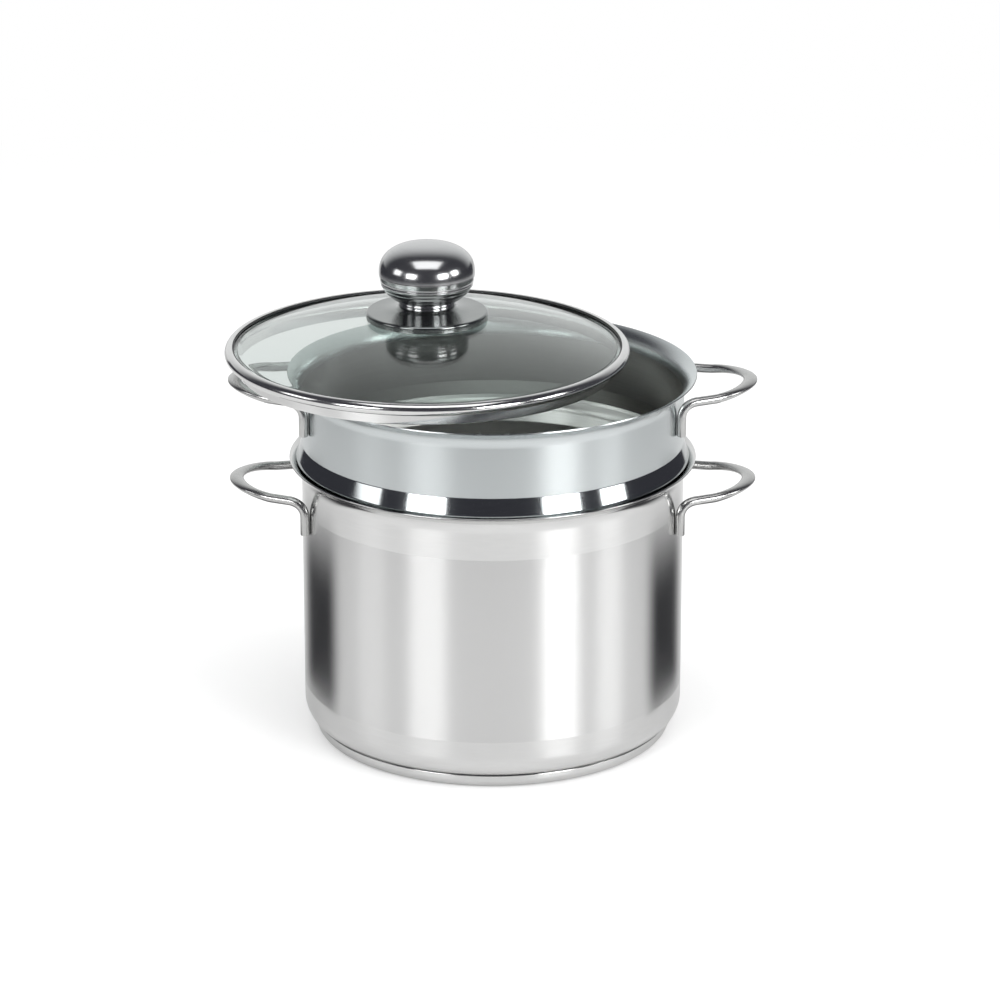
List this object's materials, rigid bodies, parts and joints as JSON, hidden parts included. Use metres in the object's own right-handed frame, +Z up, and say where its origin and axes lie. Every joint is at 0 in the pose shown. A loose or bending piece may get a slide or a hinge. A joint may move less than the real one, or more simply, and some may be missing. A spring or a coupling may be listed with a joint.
{
  "type": "pasta pot",
  "caption": "Steel pasta pot with wire loop handles, a strainer basket that hangs in its rim and a domed glass lid with a ball knob, lying ajar.",
  "frame": {"origin": "centre of the base's underside, on the pot's axis", "axes": "+Z up along the pot's axis, +X towards the right-hand handles, -Y towards the viewer"},
  "size_m": [0.2799, 0.2204, 0.2652],
  "materials": {
    "polished_steel": "mirror polished",
    "satin_steel": "satin, brushed round the wall",
    "core_aluminium": "bare",
    "clear_glass": "clear with a faint green tint",
    "silicone": "matte"
  },
  "bodies": {
    "pot": {"base_cap": "polished_steel", "base_core": "core_aluminium", "pot_shell": "satin_steel", "pot_handle_right": "satin_steel", "pot_handle_left": "satin_steel"},
    "basket": {"basket_shell": "polished_steel", "basket_handle_right": "satin_steel", "basket_handle_left": "satin_steel"},
    "lid": {"lid_glass": "clear_glass", "lid_band": "polished_steel", "lid_seal": "silicone", "knob_skirt": "polished_steel", "knob_neck": "polished_steel", "knob_cap": "polished_steel", "knob_nut": "satin_steel", "knob_screw": "satin_steel", "screw_washer": "satin_steel", "upper_gasket": "silicone", "lower_gasket": "silicone"}
  },
  "joints": [
    {"name": "basket_lift", "type": "slide", "parent": "pot", "child": "basket", "axis": [0, 0, 1], "range_m": [0, 0.2]},
    {"name": "lid_lift", "type": "slide", "parent": "basket", "child": "lid", "axis": [0, 0, 1], "range_m": [0, 0.15]}
  ]
}
